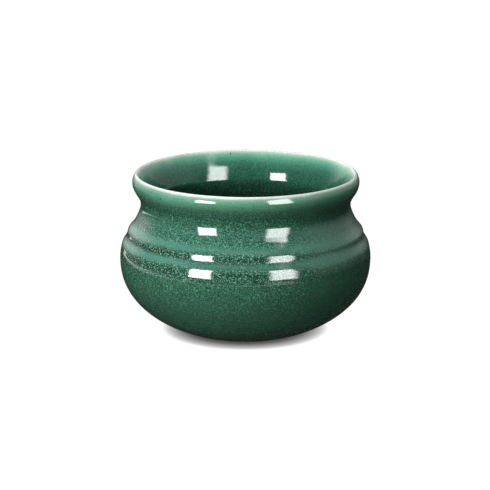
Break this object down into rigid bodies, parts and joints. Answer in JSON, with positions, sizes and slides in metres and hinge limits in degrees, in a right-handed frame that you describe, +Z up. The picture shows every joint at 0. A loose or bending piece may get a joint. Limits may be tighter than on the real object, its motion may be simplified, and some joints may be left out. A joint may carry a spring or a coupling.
{
  "type": "brush pot",
  "caption": "Squat wide-mouthed stoneware pot with a flared lip, concave neck, full belly and low foot ring, for standing or rinsing writing brushes.",
  "frame": {"origin": "centre of the foot ring's bearing face, on the surface the pot stands on", "axes": "+Z up along the pot's axis of revolution; the pot is round, so X and Y are free"},
  "size_m": [0.1098, 0.1098, 0.07],
  "materials": {
    "stoneware": "bare fired stoneware, matt and slightly gritty, brown",
    "outer_glaze": "glossy deep copper-green glaze, mottled and finely speckled, paler where it breaks over the lip",
    "liner_glaze": "glossy green glaze, paler near the lip and darker towards the floor",
    "foot_well_glaze": "glossy deep green glaze"
  },
  "bodies": {
    "root": {"clay_body": "stoneware", "outer_glaze": "outer_glaze", "liner_glaze": "liner_glaze", "foot_well_glaze": "foot_well_glaze"}
  },
  "joints": []
}
